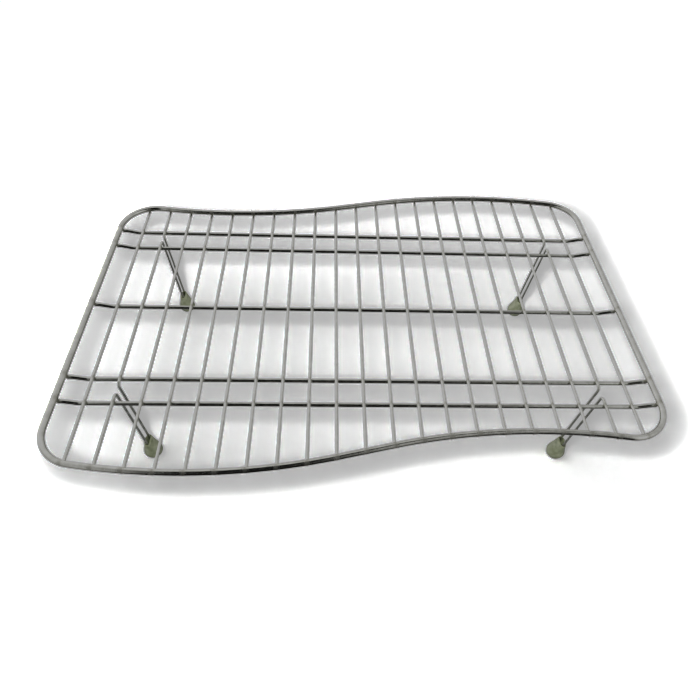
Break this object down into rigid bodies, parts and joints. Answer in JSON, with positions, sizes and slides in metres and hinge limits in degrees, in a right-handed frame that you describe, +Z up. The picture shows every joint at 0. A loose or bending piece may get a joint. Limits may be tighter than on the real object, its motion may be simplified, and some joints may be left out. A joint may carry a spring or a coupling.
{
  "type": "cooling rack",
  "caption": "Footed wire cooling rack with a wavy outline: a heavy rim loop, a welded grid and hairpin legs with moulded caps.",
  "frame": {"origin": "on the surface the feet stand on, under the middle of the grid", "axes": "+X along the rack's length, +Y to the rear, +Z up"},
  "size_m": [0.4, 0.2802, 0.0868],
  "materials": {
    "rim_wire": "bright plated, drawn wire, slightly warm grey",
    "long_wire": "bright plated, drawn wire",
    "cross_wire": "bright plated, drawn wire",
    "leg_wire": "bright plated, drawn wire",
    "foot_cap": "soft translucent moulding, olive grey"
  },
  "bodies": {
    "root": {"rim": "rim_wire", "long_wire_front_outer": "long_wire", "long_wire_front_inner": "long_wire", "long_wire_middle": "long_wire", "long_wire_rear_inner": "long_wire", "long_wire_rear_outer": "long_wire", "cross_wire_01": "cross_wire", "cross_wire_03": "cross_wire", "cross_wire_04": "cross_wire", "cross_wire_05": "cross_wire", "cross_wire_06": "cross_wire", "cross_wire_07": "cross_wire", "cross_wire_08": "cross_wire", "cross_wire_09": "cross_wire", "cross_wire_10": "cross_wire", "cross_wire_11": "cross_wire", "cross_wire_12": "cross_wire", "cross_wire_13": "cross_wire", "cross_wire_14": "cross_wire", "cross_wire_15": "cross_wire", "cross_wire_16": "cross_wire", "cross_wire_17": "cross_wire", "cross_wire_18": "cross_wire", "cross_wire_19": "cross_wire", "cross_wire_21": "cross_wire", "leg_wire_left": "leg_wire", "leg_wire_right": "leg_wire", "foot_cap_front_left": "foot_cap", "foot_cap_front_right": "foot_cap", "foot_cap_rear_left": "foot_cap", "foot_cap_rear_right": "foot_cap"}
  },
  "joints": []
}
